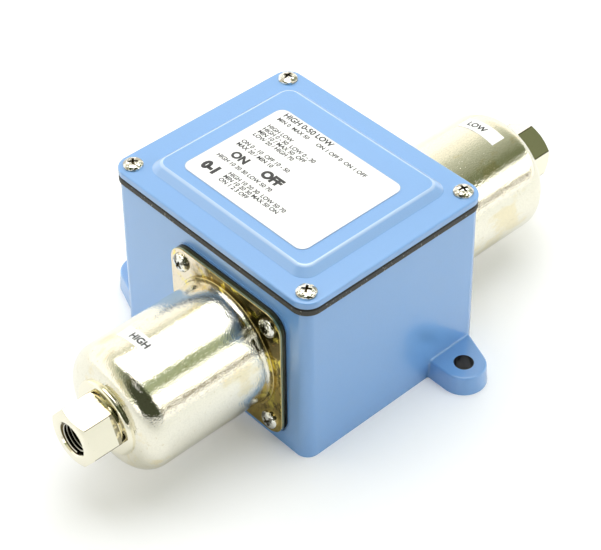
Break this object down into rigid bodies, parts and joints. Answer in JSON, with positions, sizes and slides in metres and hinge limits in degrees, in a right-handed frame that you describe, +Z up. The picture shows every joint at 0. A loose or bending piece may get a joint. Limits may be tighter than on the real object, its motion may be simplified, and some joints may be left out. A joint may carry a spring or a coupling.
{
  "type": "differential pressure switch",
  "caption": "Cast box with two mounting ears and a screwed cover, and a drawn can with a hexagonal pressure port on each side; a push rod works a snap switch inside.",
  "frame": {"origin": "centre of the base plane of the case, below the middle of the whole object's extents in X and Y", "axes": "+X runs from the HIGH port to the LOW port, along the longest extent; +Y points to the wall with the cable entry; +Z points up from the mounting face to the cover"},
  "size_m": [0.2432, 0.1484, 0.0829],
  "materials": {
    "blue_paint": "satin powder coat",
    "gasket_rubber": "matt",
    "black_rubber": "matt",
    "label_film": "satin white film",
    "screw_steel": "bright zinc",
    "gold_steel": "yellow zinc",
    "olive_chromate": "dark yellow chromate",
    "gold_chromate": "yellow chromate",
    "zinc_plate": "pale yellow zinc plate",
    "port_steel": "turned, pale yellow zinc plate",
    "brass": "turned",
    "bellows_brass": "drawn",
    "bracket_steel": "plated sheet",
    "green_steel": "green dyed",
    "rod_steel": "ground",
    "spring_steel": "drawn wire",
    "black_moulding": "moulded",
    "red_moulding": "moulded"
  },
  "bodies": {
    "case": {"housing": "blue_paint", "cover": "blue_paint", "cover_gasket": "gasket_rubber", "cover_screws": "screw_steel", "nameplate": "label_film", "high_flange_gasket": "black_rubber", "high_adapter_plate": "olive_chromate", "high_flange_plate": "gold_chromate", "high_flange_screws": "gold_steel", "high_can": "zinc_plate", "high_port_fitting": "port_steel", "high_tag": "label_film", "high_guide_bushing": "brass", "low_flange_gasket": "black_rubber", "low_adapter_plate": "olive_chromate", "low_flange_plate": "gold_chromate", "low_flange_screws": "gold_steel", "low_can": "zinc_plate", "low_port_fitting": "port_steel", "low_tag": "label_film", "low_guide_bushing": "brass", "spring_guide": "brass", "pivot_pin": "screw_steel", "switch_body": "black_moulding", "switch_terminals": "brass", "terminal_screws": "screw_steel", "fixing_screws": "screw_steel", "switch_bracket": "bracket_steel", "bracket_screws": "screw_steel", "earth_screw": "green_steel"},
    "rod": {"push_rod": "rod_steel", "high_bellows_head": "brass", "low_bellows_head": "brass", "high_bellows": "bellows_brass", "low_bellows": "bellows_brass", "range_spring": "spring_steel"},
    "nut": {"adjusting_nut": "brass"},
    "lever": {"actuator_lever": "bracket_steel"},
    "plunger": {"switch_plunger": "red_moulding"}
  },
  "joints": [
    {"name": "rod_slide", "type": "slide", "parent": "case", "child": "rod", "axis": [1, 0, 0], "range_m": [-0.0003, 0.0006], "stiffness_N_per_m": 9000, "deforming": ["high_bellows", "low_bellows", "range_spring"]},
    {"name": "nut_turn", "type": "hinge", "parent": "case", "child": "nut", "pos_m": [0.0275, -0.0127, 0.0355], "axis": [1, 0, 0], "range_deg": [-180, 180]},
    {"name": "lever_pivot", "type": "hinge", "parent": "case", "child": "lever", "pos_m": [0.0015, -0.0127, 0.0495], "axis": [0, 1, 0], "range_deg": [-6, 3]},
    {"name": "plunger_slide", "type": "slide", "parent": "case", "child": "plunger", "axis": [0, 0, 1], "range_m": [-0.0004, 0.0008]}
  ],
  "couplings": [
    {"joint": "lever_pivot", "follows": "rod_slide", "rad_per_m": -156.25},
    {"joint": "plunger_slide", "follows": "rod_slide", "ratio": 1.25}
  ]
}
